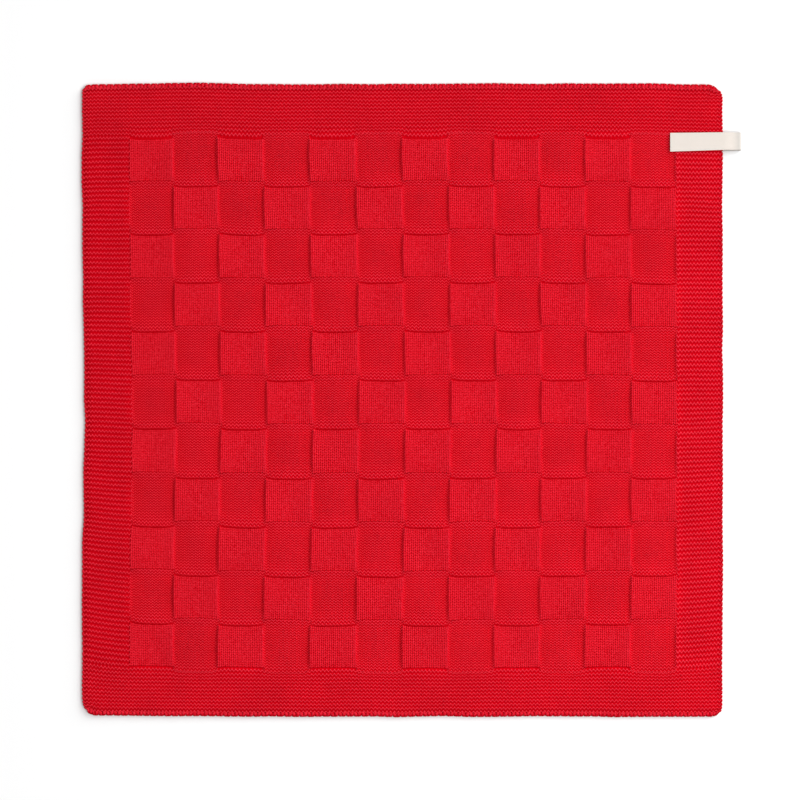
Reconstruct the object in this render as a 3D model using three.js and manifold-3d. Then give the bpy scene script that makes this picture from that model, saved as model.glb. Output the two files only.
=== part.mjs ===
// A square kitchen towel of machine-knitted cotton, laid out flat, with a tape label folded round
// its right-hand edge. Millimetres, +Z up. The cloth lies on the plane z = 0 and its middle is the
// origin. Its cast-off edge is at +Y and the label is at +X.

import * as THREE from 'three';
import { mergeVertices } from 'three/addons/utils/BufferGeometryUtils.js';
import Module from 'manifold-3d';

const wasm = await Module();
wasm.setup();

// The whole cloth, and the garter-stitch borders round its field of blocks
const CLOTH = { width: 500, length: 494, thickness: 2.6 };
const BORDER = { left: 38.3, right: 35.2, top: 40.5, bottom: 37.9 };

// The field: blocks of knit and purl in turn, as in a basket weave
const BLOCK_COLUMNS = 12;
const BLOCK_ROWS = 11;
const BLOCK_RELIEF = 0.55;
const RELIEF_SHARPNESS = 3;
const SIDE_BULGE = 0.05;
const END_OVERLAP = 0.12;
const OVERLAP_SHARPNESS = 6;
// Grid lines across a block, from its middle (0) to its edge (1)
const BLOCK_LINES = [-0.94, -0.4, 0.4, 0.94];

// Garter ridges: each is two courses of the border
const RIDGES = { top: 13, bottom: 12, sides: 110 };
const RIDGE_DEPTH = 0.35;
const RIDGE_MARGIN = 1.9;
const BORDER_COLUMNS = 12;
// How far outside the field the side borders' ridges start to run out, and are level
const RIDGE_END = 4;
const SEAM = 1;

// The edge: a row of bumps along the cast-off and cast-on edges, one for every two stitches
const EDGE_BUMPS = 84;
const EDGE_INSET = 1.3;
const EDGE_HEIGHT = 1.5;
const BUMP_OUT = 0.3;
const UNDERSIDE_INSET = 1;
const UNDERSIDE_STEPS = 12;
const MIDDLE_REACH = 150;
const CORNER_REACH = 10;
const CORNER_RADIUS = { topLeft: 10, topRight: 7, bottomLeft: 9, bottomRight: 8 };

// The label's tape, seen from above: its ends, and its long edges at each end. Its back leaf lies
// a little nearer the bottom edge than its front leaf, and past the cloth's edge the front leaf
// droops to the fold.
const LABEL = {
  left: 209.5,
  right: 265.2,
  topAtLeft: 208.6,
  topAtRight: 209.2,
  bottomAtLeft: 194.0,
  bottomAtRight: 195.8,
  thickness: 1,
  backShift: -0.8,
  droopFrom: 251.5,
  droopSteps: 5,
  foldRadius: 0.9,
  foldSteps: 8,
};
const GAP = 0.3;
const HOLLOW_ROOM = 0.6;

// How uneven the cloth lies. Each row is a place on the way down the cloth: how far the left and
// right edges run in from a straight line, how far the side borders' courses are lifted at their
// outer ends, and how far the field's courses arch up in the middle.
const DOWN_THE_CLOTH = [
  { share: 0.0, leftIn: 0.3, rightIn: 0.2, leftLift: 0.0, rightLift: 0.0, arch: 0.0 },
  { share: 0.1, leftIn: -0.3, rightIn: 0.0, leftLift: 0.0, rightLift: 0.0, arch: 0.8 },
  { share: 0.25, leftIn: 0.2, rightIn: 0.2, leftLift: 1.0, rightLift: 0.5, arch: 1.4 },
  { share: 0.4, leftIn: 1.0, rightIn: 0.0, leftLift: 1.5, rightLift: 1.2, arch: 1.2 },
  { share: 0.52, leftIn: 1.8, rightIn: -0.2, leftLift: 2.0, rightLift: 2.0, arch: 0.4 },
  { share: 0.65, leftIn: 1.0, rightIn: 0.1, leftLift: 3.2, rightLift: 2.8, arch: -0.6 },
  { share: 0.78, leftIn: -0.1, rightIn: -0.2, leftLift: 4.8, rightLift: 3.4, arch: -1.6 },
  { share: 0.88, leftIn: 0.0, rightIn: 0.1, leftLift: 5.6, rightLift: 3.2, arch: -2.0 },
  { share: 1.0, leftIn: 0.1, rightIn: 0.2, leftLift: 0.0, rightLift: 0.0, arch: 0.0 },
];

// The same across the cloth: how far the top and bottom edges run in from a straight line, and how
// far the columns of stitches lie to the right of their even places.
const ACROSS_THE_CLOTH = [
  { share: 0.0, topIn: 0.2, bottomIn: 0.8, waleShift: 0.0 },
  { share: 0.08, topIn: 0.0, bottomIn: 0.1, waleShift: -0.8 },
  { share: 0.19, topIn: -0.6, bottomIn: -0.2, waleShift: -3.6 },
  { share: 0.3, topIn: 0.3, bottomIn: -0.4, waleShift: -3.5 },
  { share: 0.42, topIn: 0.5, bottomIn: -0.3, waleShift: -2.6 },
  { share: 0.55, topIn: 0.1, bottomIn: -0.3, waleShift: -1.7 },
  { share: 0.7, topIn: 0.0, bottomIn: -0.1, waleShift: -1.2 },
  { share: 0.8, topIn: 0.0, bottomIn: -0.3, waleShift: -0.9 },
  { share: 0.88, topIn: -0.3, bottomIn: -0.7, waleShift: -0.8 },
  { share: 0.95, topIn: 0.6, bottomIn: -0.8, waleShift: -0.4 },
  { share: 1.0, topIn: 1.0, bottomIn: -0.4, waleShift: 0.0 },
];
const WALE_BOW = 2.2;
const LIFT_REACH = 60;

const HALF_WIDTH = CLOTH.width / 2;
const HALF_LENGTH = CLOTH.length / 2;
const FIELD = {
  left: -HALF_WIDTH + BORDER.left,
  right: HALF_WIDTH - BORDER.right,
  top: HALF_LENGTH - BORDER.top,
  bottom: -HALF_LENGTH + BORDER.bottom,
};
const BLOCK_WIDTH = (FIELD.right - FIELD.left) / BLOCK_COLUMNS;
const BLOCK_LENGTH = (FIELD.top - FIELD.bottom) / BLOCK_ROWS;

// A table's column at any share of the way, on a smooth curve through its rows
function readTable(table, column, share) {
  const after = table.findIndex((row) => row.share > share);
  const last = after < 0 ? table.length - 1 : Math.max(after, 1);
  const from = table[last - 1];
  const to = table[last];
  const way = Math.min(Math.max((share - from.share) / (to.share - from.share), 0), 1);
  const eased = way * way * (3 - 2 * way);
  return from[column] + (to[column] - from[column]) * eased;
}

// Bends the corner of a straight-sided cloth round to its radius. Rings of stitches keep their
// distance from the edge, so the corner of each ring becomes a quarter circle.
function roundCorner(x, y) {
  const radius = CORNER_RADIUS[(y > 0 ? 'top' : 'bottom') + (x > 0 ? 'Right' : 'Left')];
  const across = (Math.abs(x) - (HALF_WIDTH - radius)) / radius;
  const along = (Math.abs(y) - (HALF_LENGTH - radius)) / radius;
  if (across <= 0 || along <= 0) {
    return [x, y];
  }
  const ring = Math.max(across, along);
  const lean = (Math.PI / 4) * (Math.min(across, along) / ring);
  const near = ring * Math.cos(lean);
  const far = ring * Math.sin(lean);
  const turnedAcross = across >= along ? near : far;
  const turnedAlong = across >= along ? far : near;
  return [
    Math.sign(x) * (HALF_WIDTH - radius + radius * turnedAcross),
    Math.sign(y) * (HALF_LENGTH - radius + radius * turnedAlong),
  ];
}

// Where a point of the straight-sided cloth lies once the cloth is laid out by hand
function lay(flatX, flatY) {
  const [x, y] = roundCorner(flatX, flatY);
  const across = (x + HALF_WIDTH) / CLOTH.width;
  const down = (HALF_LENGTH - y) / CLOTH.length;
  const middleAcross = Math.sin(Math.PI * across);
  const middleDown = Math.sin(Math.PI * down);
  const leftLift = Math.max(0, 1 - (across * CLOTH.width) / LIFT_REACH) ** 2;
  const rightLift = Math.max(0, 1 - ((1 - across) * CLOTH.width) / LIFT_REACH) ** 2;
  const shiftX = readTable(DOWN_THE_CLOTH, 'leftIn', down) * (1 - across)
    - readTable(DOWN_THE_CLOTH, 'rightIn', down) * across
    + readTable(ACROSS_THE_CLOTH, 'waleShift', across)
    + WALE_BOW * middleAcross * middleDown;
  const shiftY = readTable(ACROSS_THE_CLOTH, 'bottomIn', across) * down
    - readTable(ACROSS_THE_CLOTH, 'topIn', across) * (1 - down)
    + readTable(DOWN_THE_CLOTH, 'leftLift', down) * leftLift
    + readTable(DOWN_THE_CLOTH, 'rightLift', down) * rightLift
    + readTable(DOWN_THE_CLOTH, 'arch', down) * middleAcross;
  return [x + shiftX, y + shiftY];
}

// The cloth's surface: points with their place on the straight-sided cloth, and triangles
const points = [];
const triangles = [];

function addPoint(flatX, flatY, z) {
  const [x, y] = lay(flatX, flatY);
  points.push({ flatX, flatY, x, y, z });
  return points.length - 1;
}

// Fills the cells between lines of equally many points. Each line runs from left to right, and
// the first is the top one.
function fillGrid(lines) {
  for (let row = 0; row < lines.length - 1; row += 1) {
    for (let column = 0; column < lines[row].length - 1; column += 1) {
      const [topLeft, topRight] = lines[row].slice(column, column + 2);
      const [bottomLeft, bottomRight] = lines[row + 1].slice(column, column + 2);
      triangles.push([topLeft, bottomLeft, bottomRight], [topLeft, bottomRight, topRight]);
    }
  }
}

// Closes the strip between two lines of points that run the same way, with different numbers of
// points. The first line is on the left-hand side of someone walking along the strip.
function zip(leftLine, rightLine, along) {
  let left = 0;
  let right = 0;
  while (left < leftLine.length - 1 || right < rightLine.length - 1) {
    const rightDone = right === rightLine.length - 1;
    const leftDone = left === leftLine.length - 1;
    const leftFirst = !leftDone
      && (rightDone || along(leftLine[left + 1]) <= along(rightLine[right + 1]));
    if (leftFirst) {
      triangles.push([leftLine[left], rightLine[right], leftLine[left + 1]]);
      left += 1;
    } else {
      triangles.push([leftLine[left], rightLine[right], rightLine[right + 1]]);
      right += 1;
    }
  }
}

const eastward = (index) => points[index].flatX;
const westward = (index) => -points[index].flatX;
const northward = (index) => points[index].flatY;
const southward = (index) => -points[index].flatY;

// Evenly spaced numbers from one value to another, both included
function spread(from, to, steps) {
  return Array.from({ length: steps + 1 }, (_, step) => from + ((to - from) * step) / steps);
}

// A point of the field. A knit block bulges at its sides and stands up along them; a purl block
// laps over the ends of the knit blocks above and below it, and stands up along those ends.
function fieldPoint(column, row, across, up) {
  const knit = (column + row) % 2 === 0 ? 1 : -1;
  const middleX = FIELD.left + (column + 0.5) * BLOCK_WIDTH;
  const middleY = FIELD.top - (row + 0.5) * BLOCK_LENGTH;
  const bulge = 1 + knit * SIDE_BULGE * (1 - up ** 2);
  const overlap = 1 - knit * END_OVERLAP * (1 - across ** OVERLAP_SHARPNESS);
  const relief = Math.abs(across) ** RELIEF_SHARPNESS - Math.abs(up) ** RELIEF_SHARPNESS;
  return addPoint(
    middleX + (across * BLOCK_WIDTH * bulge) / 2,
    middleY + (up * BLOCK_LENGTH * overlap) / 2,
    CLOTH.thickness + knit * BLOCK_RELIEF * relief,
  );
}

function makeField() {
  const lines = [];
  for (let row = 0; row < BLOCK_ROWS; row += 1) {
    for (const down of BLOCK_LINES) {
      const line = [];
      for (let column = 0; column < BLOCK_COLUMNS; column += 1) {
        for (const across of BLOCK_LINES) {
          line.push(fieldPoint(column, row, across, -down));
        }
      }
      lines.push(line);
    }
  }
  return lines;
}

// A stretch of garter stitch: a crest and a furrow in turn, each a line across the cloth. Where
// a side border meets the field, the ridges have run out level.
function makeRidges(xs, from, to, ridges) {
  const seams = [FIELD.left - SEAM, FIELD.right + SEAM];
  return spread(from, to, 2 * ridges - 1).map((y, step) => {
    const relief = step % 2 === 0 ? RIDGE_DEPTH : -RIDGE_DEPTH;
    return xs.map((x) => addPoint(x, y, CLOTH.thickness + (seams.includes(x) ? 0 : relief)));
  });
}

// The row of bumps just inside the cast-off or cast-on edge
function makeBumps(y) {
  const inner = HALF_WIDTH - EDGE_INSET;
  return spread(-inner, inner, 2 * EDGE_BUMPS).map((x, step) => (
    addPoint(x, y, CLOTH.thickness + (step % 2 === 0 ? -RIDGE_DEPTH : RIDGE_DEPTH))
  ));
}

const firstOf = (lines) => lines.map((line) => line[0]);
const lastOf = (lines) => lines.map((line) => line.at(-1));

// The outermost line of the cloth, halfway up its thickness: a point beside each point of the
// line just inside it, standing out where that one is a crest
function makeRim(inner, place) {
  return inner.map((index) => {
    const standsOut = points[index].z > CLOTH.thickness ? BUMP_OUT : 0;
    const [x, y] = place(points[index], standsOut);
    return addPoint(x, y, EDGE_HEIGHT);
  });
}

// Places along one side of the underside: closer together at the corners, where it is round
function undersidePlaces(half) {
  const reach = half - UNDERSIDE_INSET;
  const straight = reach - CORNER_REACH;
  const bend = reach - CORNER_REACH / 2;
  return [-reach, -bend, ...spread(-straight, straight, UNDERSIDE_STEPS), bend, reach];
}

// The slope from the rim down to the underside, and the underside, which is flat: a square in the
// middle with a strip round it
function closeUnderside(rim) {
  const reachX = HALF_WIDTH - UNDERSIDE_INSET;
  const reachY = HALF_LENGTH - UNDERSIDE_INSET;
  const bottom = undersidePlaces(HALF_WIDTH).map((x) => addPoint(x, -reachY, 0));
  const top = undersidePlaces(HALF_WIDTH).map((x) => addPoint(x, reachY, 0));
  const sidePlaces = undersidePlaces(HALF_LENGTH).slice(1, -1).reverse();
  const left = [top[0], ...sidePlaces.map((y) => addPoint(-reachX, y, 0)), bottom[0]];
  const right = [top.at(-1), ...sidePlaces.map((y) => addPoint(reachX, y, 0)), bottom.at(-1)];
  const topWestward = top.toReversed();
  const rightNorthward = right.toReversed();
  zip(rim.bottom, bottom, eastward);
  zip(rim.right.toReversed(), rightNorthward, northward);
  zip(rim.top.toReversed(), topWestward, westward);
  zip(rim.left, left, southward);

  const corner = (signX, signY) => addPoint(signX * MIDDLE_REACH, signY * MIDDLE_REACH, 0);
  const topLeft = corner(-1, 1);
  const topRight = corner(1, 1);
  const bottomLeft = corner(-1, -1);
  const bottomRight = corner(1, -1);
  zip(bottom, [bottomLeft, bottomRight], eastward);
  zip(rightNorthward, [bottomRight, topRight], northward);
  zip(topWestward, [topRight, topLeft], westward);
  zip(left, [topLeft, bottomLeft], southward);
  triangles.push([topLeft, topRight, bottomRight], [topLeft, bottomRight, bottomLeft]);
}

// Walks round the cloth: every stretch of knitting, the seams between them, the rim, the underside
function makeCloth() {
  const innerX = HALF_WIDTH - EDGE_INSET;
  const innerY = HALF_LENGTH - EDGE_INSET;
  const ridgeReach = innerY - EDGE_INSET;
  const fullWidth = spread(-innerX, innerX, BORDER_COLUMNS);
  const leftWidth = [-innerX, FIELD.left - RIDGE_END, FIELD.left - SEAM];
  const rightWidth = [FIELD.right + SEAM, FIELD.right + RIDGE_END, innerX];

  const bumpsTop = makeBumps(innerY);
  const top = makeRidges(fullWidth, ridgeReach, FIELD.top + RIDGE_MARGIN, RIDGES.top);
  const field = makeField();
  const leftSide = makeRidges(leftWidth, FIELD.top, FIELD.bottom, RIDGES.sides);
  const rightSide = makeRidges(rightWidth, FIELD.top, FIELD.bottom, RIDGES.sides);
  const bottom = makeRidges(fullWidth, FIELD.bottom - RIDGE_MARGIN, -ridgeReach, RIDGES.bottom);
  const bumpsBottom = makeBumps(-innerY);
  [top, field, leftSide, rightSide, bottom].forEach(fillGrid);

  const middle = [leftSide, field, rightSide];
  zip(bumpsTop, top[0], eastward);
  zip(top.at(-1), middle.flatMap((part) => part[0]), eastward);
  zip(firstOf(field), lastOf(leftSide), southward);
  zip(firstOf(rightSide), lastOf(field), southward);
  zip(middle.flatMap((part) => part.at(-1)), bottom[0], eastward);
  zip(bottom.at(-1), bumpsBottom, eastward);

  const stretchX = HALF_WIDTH / innerX;
  const stretchY = HALF_LENGTH / innerY;
  const rimTop = makeRim(bumpsTop, ({ flatX }, out) => [flatX * stretchX, HALF_LENGTH + out]);
  const rimBottom = makeRim(bumpsBottom, ({ flatX }, out) => [flatX * stretchX, -HALF_LENGTH - out]);
  const insideLeft = [top, leftSide, bottom].flatMap(firstOf);
  const insideRight = [top, rightSide, bottom].flatMap(lastOf);
  const rimLeft = makeRim(insideLeft, ({ flatY }, out) => [-HALF_WIDTH - out, flatY * stretchY]);
  const rimRight = makeRim(insideRight, ({ flatY }, out) => [HALF_WIDTH + out, flatY * stretchY]);
  const rim = {
    top: rimTop,
    bottom: rimBottom,
    left: [rimTop[0], ...rimLeft, rimBottom[0]],
    right: [rimTop.at(-1), ...rimRight, rimBottom.at(-1)],
  };
  const innerLeft = [bumpsTop[0], ...insideLeft, bumpsBottom[0]];
  const innerRight = [bumpsTop.at(-1), ...insideRight, bumpsBottom.at(-1)];
  fillGrid([rim.top, bumpsTop]);
  fillGrid([bumpsBottom, rim.bottom]);
  fillGrid(rim.left.map((index, step) => [index, innerLeft[step]]));
  fillGrid(rim.right.map((index, step) => [innerRight[step], index]));
  closeUnderside(rim);

  return new wasm.Manifold(new wasm.Mesh({
    numProp: 3,
    vertProperties: new Float32Array(points.flatMap(({ x, y, z }) => [x, y, z])),
    triVerts: new Uint32Array(triangles.flat()),
  }));
}

function toManifold(geometry) {
  geometry.deleteAttribute('normal');
  geometry.deleteAttribute('uv');
  const merged = mergeVertices(geometry);
  return new wasm.Manifold(new wasm.Mesh({
    numProp: 3,
    vertProperties: new Float32Array(merged.attributes.position.array),
    triVerts: new Uint32Array(merged.index.array),
  }));
}

function toGeometry(manifold) {
  const { vertProperties, triVerts } = manifold.getMesh();
  const geometry = new THREE.BufferGeometry();
  geometry.setAttribute('position', new THREE.BufferAttribute(vertProperties, 3));
  geometry.setIndex(new THREE.BufferAttribute(triVerts, 1));
  geometry.computeVertexNormals();
  return geometry;
}

// The hollow in the underside where the cloth lies over the back leaf of the label
function makeHollow() {
  const low = Math.min(LABEL.bottomAtLeft, LABEL.bottomAtRight) + LABEL.backShift - HOLLOW_ROOM;
  const high = Math.max(LABEL.topAtLeft, LABEL.topAtRight) + HOLLOW_ROOM;
  const left = LABEL.left - HOLLOW_ROOM;
  const height = LABEL.thickness + GAP;
  const hollow = new THREE.BoxGeometry(LABEL.right - left, high - low, 2 * height);
  hollow.translate((left + LABEL.right) / 2, (low + high) / 2, 0);
  return hollow;
}

// The middle line of the label's tape, seen from the side: along the top of the cloth, down past
// its edge, round the fold and back under the cloth. x runs across the towel, y is the height.
function labelMiddleLine() {
  const frontHeight = CLOTH.thickness + BLOCK_RELIEF + GAP + LABEL.thickness / 2;
  const backHeight = LABEL.thickness / 2;
  const foldX = LABEL.right - LABEL.foldRadius - LABEL.thickness / 2;
  const foldHeight = backHeight + LABEL.foldRadius;
  const droop = spread(0, 1, LABEL.droopSteps).map((way) => new THREE.Vector2(
    LABEL.droopFrom + (foldX - LABEL.droopFrom) * way,
    frontHeight
      - (frontHeight - foldHeight - LABEL.foldRadius) * (0.5 - 0.5 * Math.cos(Math.PI * way)),
  ));
  const fold = spread(Math.PI / 2, -Math.PI / 2, LABEL.foldSteps).slice(1).map((angle) => (
    new THREE.Vector2(
      foldX + LABEL.foldRadius * Math.cos(angle),
      foldHeight + LABEL.foldRadius * Math.sin(angle),
    )
  ));
  return [
    new THREE.Vector2(LABEL.left, frontHeight),
    ...droop,
    ...fold,
    new THREE.Vector2(LABEL.left, backHeight),
  ];
}

// The tape's section, made thick about its middle line, then drawn across to the tape's width
function makeLabel() {
  const line = labelMiddleLine();
  const faces = [0.5, -0.5].map((side) => line.map((point, step) => {
    const before = line[Math.max(step - 1, 0)];
    const after = line[Math.min(step + 1, line.length - 1)];
    const along = after.clone().sub(before).normalize();
    const outward = new THREE.Vector2(-along.y, along.x);
    return point.clone().addScaledVector(outward, side * LABEL.thickness);
  }));
  const section = new THREE.Shape([...faces[0], ...faces[1].toReversed()]);
  const geometry = new THREE.ExtrudeGeometry(section, { depth: 1, bevelEnabled: false });
  const position = geometry.attributes.position;
  const foldTop = 2 * LABEL.foldRadius + LABEL.thickness;
  for (let index = 0; index < position.count; index += 1) {
    const x = position.getX(index);
    const height = position.getY(index);
    const share = position.getZ(index);
    const along = (x - LABEL.left) / (LABEL.right - LABEL.left);
    const top = LABEL.topAtLeft + (LABEL.topAtRight - LABEL.topAtLeft) * along;
    const bottom = LABEL.bottomAtLeft + (LABEL.bottomAtRight - LABEL.bottomAtLeft) * along;
    const lowness = (foldTop - height) / (foldTop - LABEL.thickness);
    const shift = LABEL.backShift * Math.min(Math.max(lowness, 0), 1);
    position.setXYZ(index, x, top + (bottom - top) * share + shift, height);
  }
  return geometry;
}

const knittedCotton = new THREE.MeshStandardMaterial({ color: 0xd01a28, roughness: 0.9, metalness: 0 });
const wovenTape = new THREE.MeshStandardMaterial({ color: 0xece3da, roughness: 0.85, metalness: 0 });

const hollow = toManifold(makeHollow());
const towel = new THREE.Mesh(toGeometry(makeCloth().subtract(hollow)), knittedCotton);
towel.name = 'towel';

const label = new THREE.Mesh(toGeometry(toManifold(makeLabel())), wovenTape);
label.name = 'label';

const group = new THREE.Group();
group.name = 'kitchen_towel';
group.add(towel, label);

export default group;
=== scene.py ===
# %% [markdown]
# # A knitted kitchen towel
#
# The real thing is one square of machine-knitted cotton. A garter-stitch border runs all round a
# field of small blocks, which are knit and purl in turn, and an off-white tape is folded round the
# right-hand edge as a label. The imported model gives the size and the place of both. Here they get
# their yarn: every stitch that shows is modelled once, copied along the rows of the knitting
# chart, and then laid down with the cloth.

import math

import bpy
import numpy as np
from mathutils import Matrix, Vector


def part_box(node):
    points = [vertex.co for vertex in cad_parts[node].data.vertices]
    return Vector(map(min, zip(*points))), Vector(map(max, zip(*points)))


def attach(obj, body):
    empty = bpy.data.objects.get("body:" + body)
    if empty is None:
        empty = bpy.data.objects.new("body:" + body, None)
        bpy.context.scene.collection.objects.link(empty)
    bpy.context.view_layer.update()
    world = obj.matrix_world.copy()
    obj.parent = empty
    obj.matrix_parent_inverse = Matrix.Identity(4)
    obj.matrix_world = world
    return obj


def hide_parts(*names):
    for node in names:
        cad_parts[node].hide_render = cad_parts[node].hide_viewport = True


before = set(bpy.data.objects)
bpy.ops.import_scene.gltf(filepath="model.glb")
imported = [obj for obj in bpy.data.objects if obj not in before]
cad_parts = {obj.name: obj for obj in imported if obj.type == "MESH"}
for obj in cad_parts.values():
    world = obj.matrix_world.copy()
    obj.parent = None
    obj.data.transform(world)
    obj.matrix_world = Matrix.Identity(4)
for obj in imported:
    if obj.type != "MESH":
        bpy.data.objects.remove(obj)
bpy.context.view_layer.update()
towel_low, towel_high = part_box("towel")
label_low, label_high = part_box("label")
print("towel from", towel_low, "to", towel_high)
print("label from", label_low, "to", label_high)

# %% [markdown]
# ## The sizes of the knitting
#
# Everything is in metres, and the middle of the cloth is the origin. A knitter reads a chart: so
# many stitches across, so many courses down. The sizes of one stitch follow from the sizes of the
# cloth and these counts.

# %% Sizes
MM = 0.001
WIDTH = 0.500
LENGTH = 0.494
THICKNESS = 0.0026
BORDER_LEFT = 0.0383
BORDER_RIGHT = 0.0352
BORDER_TOP = 0.0405
BORDER_BOTTOM = 0.0379

BLOCK_COLUMNS = 12
BLOCK_ROWS = 11
BLOCK_STITCHES = 12
BLOCK_COURSES = 20
LEFT_STITCHES = 14
RIGHT_STITCHES = 13
TOP_RIDGES = 13
BOTTOM_RIDGES = 12
EDGE_PAIRS = 84
RIDGE_START = 0.0021

FIELD_LEFT = -WIDTH / 2 + BORDER_LEFT
FIELD_RIGHT = WIDTH / 2 - BORDER_RIGHT
FIELD_TOP = LENGTH / 2 - BORDER_TOP
FIELD_BOTTOM = -LENGTH / 2 + BORDER_BOTTOM
BLOCK_WIDTH = (FIELD_RIGHT - FIELD_LEFT) / BLOCK_COLUMNS
BLOCK_LENGTH = (FIELD_TOP - FIELD_BOTTOM) / BLOCK_ROWS
STITCH = BLOCK_WIDTH / BLOCK_STITCHES
COURSE = BLOCK_LENGTH / (BLOCK_COURSES - 1)
SIDE_RIDGES = BLOCK_ROWS * BLOCK_COURSES // 2
print(f"one stitch is {STITCH / MM:.2f} mm wide and {COURSE / MM:.2f} mm high")

# %% [markdown]
# ## How the cloth lies
#
# The cloth was laid out by hand, so its edges wander by a millimetre or two and its courses arch.
# Two small tables say how far, from the top edge down and from the left edge across. One function
# does this to any point of the straight-sided chart, so the pieces can be modelled flat and
# square, and are laid down at the end.

# %% How uneven the cloth lies, in millimetres, at shares of the way down and across
DOWN_THE_CLOTH = {
    "share": (0.0, 0.1, 0.25, 0.4, 0.52, 0.65, 0.78, 0.88, 1.0),
    "left_in": (0.3, -0.3, 0.2, 1.0, 1.8, 1.0, -0.1, 0.0, 0.1),
    "right_in": (0.2, 0.0, 0.2, 0.0, -0.2, 0.1, -0.2, 0.1, 0.2),
    "left_lift": (0.0, 0.0, 1.0, 1.5, 2.0, 3.2, 4.8, 5.6, 0.0),
    "right_lift": (0.0, 0.0, 0.5, 1.2, 2.0, 2.8, 3.4, 3.2, 0.0),
    "arch": (0.0, 0.8, 1.4, 1.2, 0.4, -0.6, -1.6, -2.0, 0.0),
}
ACROSS_THE_CLOTH = {
    "share": (0.0, 0.03, 0.08, 0.19, 0.3, 0.42, 0.55, 0.7, 0.8, 0.88, 0.95, 1.0),
    "top_in": (0.7, 0.0, -0.2, -0.8, 0.1, 0.3, -0.1, -0.2, -0.2, -0.5, 0.4, 0.8),
    "bottom_in": (0.7, 0.3, 0.0, -0.3, -0.5, -0.4, -0.4, -0.2, -0.4, -0.8, -0.9, -0.9),
    "wale_shift": (0.0, -0.2, -0.8, -3.6, -3.5, -2.6, -1.7, -1.2, -0.9, -0.8, -0.4, 0.0),
}
CORNER_RADIUS = {
    "top_left": 0.0055,
    "top_right": 0.0115,
    "bottom_left": 0.011,
    "bottom_right": 0.008,
}

# %% Reading the tables
def smooth_step(way):
    """0 before the start, 1 past the end, and a soft curve between."""
    way = np.clip(way, 0.0, 1.0)
    return way * way * (3.0 - 2.0 * way)


def read_table(table, column, share):
    """A column of a table, in metres, at any share of the way, on a smooth curve."""
    places = np.array(table["share"])
    values = np.array(table[column]) * MM
    after = np.clip(np.searchsorted(places, share, side="right"), 1, len(places) - 1)
    way = (share - places[after - 1]) / (places[after] - places[after - 1])
    return values[after - 1] + (values[after] - values[after - 1]) * smooth_step(way)


# %% Laying the cloth by hand
WALE_BOW = 0.0022
LIFT_REACH = 0.060


def round_corners(x, y):
    """Rings of stitches keep their distance from the edge, so each ring's corner is an arc."""
    top = np.where(x > 0, CORNER_RADIUS["top_right"], CORNER_RADIUS["top_left"])
    bottom = np.where(x > 0, CORNER_RADIUS["bottom_right"], CORNER_RADIUS["bottom_left"])
    radius = np.where(y > 0, top, bottom)
    across = (np.abs(x) - (WIDTH / 2 - radius)) / radius
    along = (np.abs(y) - (LENGTH / 2 - radius)) / radius
    in_corner = (across > 0) & (along > 0)
    ring = np.where(in_corner, np.maximum(across, along), 1.0)
    lean = math.pi / 4 * np.minimum(across, along) / ring
    near = ring * np.cos(lean)
    far = ring * np.sin(lean)
    turned_across = np.where(across >= along, near, far)
    turned_along = np.where(across >= along, far, near)
    round_x = np.sign(x) * (WIDTH / 2 - radius + radius * turned_across)
    round_y = np.sign(y) * (LENGTH / 2 - radius + radius * turned_along)
    return np.where(in_corner, round_x, x), np.where(in_corner, round_y, y)


def lay_by_hand(x, y):
    """Where a place of the straight-sided cloth comes to lie on the table."""
    x, y = round_corners(x, y)
    across = (x + WIDTH / 2) / WIDTH
    down = (LENGTH / 2 - y) / LENGTH
    in_middle = np.sin(math.pi * np.clip(across, 0, 1))
    near_left = np.clip(1 - across * WIDTH / LIFT_REACH, 0, None) ** 2
    near_right = np.clip(1 - (1 - across) * WIDTH / LIFT_REACH, 0, None) ** 2
    shift_x = (
        read_table(DOWN_THE_CLOTH, "left_in", down) * (1 - across)
        - read_table(DOWN_THE_CLOTH, "right_in", down) * across
        + read_table(ACROSS_THE_CLOTH, "wale_shift", across)
        + WALE_BOW * in_middle * np.sin(math.pi * np.clip(down, 0, 1))
    )
    shift_y = (
        read_table(ACROSS_THE_CLOTH, "bottom_in", across) * down
        - read_table(ACROSS_THE_CLOTH, "top_in", across) * (1 - down)
        + read_table(DOWN_THE_CLOTH, "left_lift", down) * near_left
        + read_table(DOWN_THE_CLOTH, "right_lift", down) * near_right
        + read_table(DOWN_THE_CLOTH, "arch", down) * in_middle
    )
    return x + shift_x, y + shift_y


# %% [markdown]
# Knitting also pulls itself out of square. The columns of a knit block roll up at its sides, and
# both sides bow a little to the left. The rows of a purl block roll up at its ends, and lap over
# the knit blocks above and below. So each block is a saddle. Powers of the place in the block
# draw these curves: the higher the power, the closer to the block's edge the curve begins.

# %% Places in a block
HAIR = 1e-7


def block_places(x, y):
    """For places on the chart: 1 in a knit block and -1 in a purl one, and where it is in its
    block, from -1 to 1 each way. A place in the border takes the nearest place of the field."""
    columns = (np.clip(x, FIELD_LEFT + HAIR, FIELD_RIGHT - HAIR) - FIELD_LEFT) / BLOCK_WIDTH
    rows = (FIELD_TOP - np.clip(y, FIELD_BOTTOM + HAIR, FIELD_TOP - HAIR)) / BLOCK_LENGTH
    knit = np.where((np.floor(columns) + np.floor(rows)) % 2 == 0, 1.0, -1.0)
    return knit, 2 * (columns % 1) - 1, 1 - 2 * (rows % 1)


def out_of_field(x, y):
    """How far a place of the chart is outside the field."""
    return np.hypot(
        np.clip(x - FIELD_RIGHT, 0, None) + np.clip(FIELD_LEFT - x, 0, None),
        np.clip(y - FIELD_TOP, 0, None) + np.clip(FIELD_BOTTOM - y, 0, None),
    )


# %% How the blocks pull out of square
LEFT_BULGE = 0.025
RIGHT_BULGE = -0.035
BULGE_POWER = 3
TOP_OVERLAP = 0.11
BOTTOM_OVERLAP = 0.05
OVERLAP_POWER = 5
SQUARE_POWER = 6
BORDER_FADE = 0.012


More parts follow.
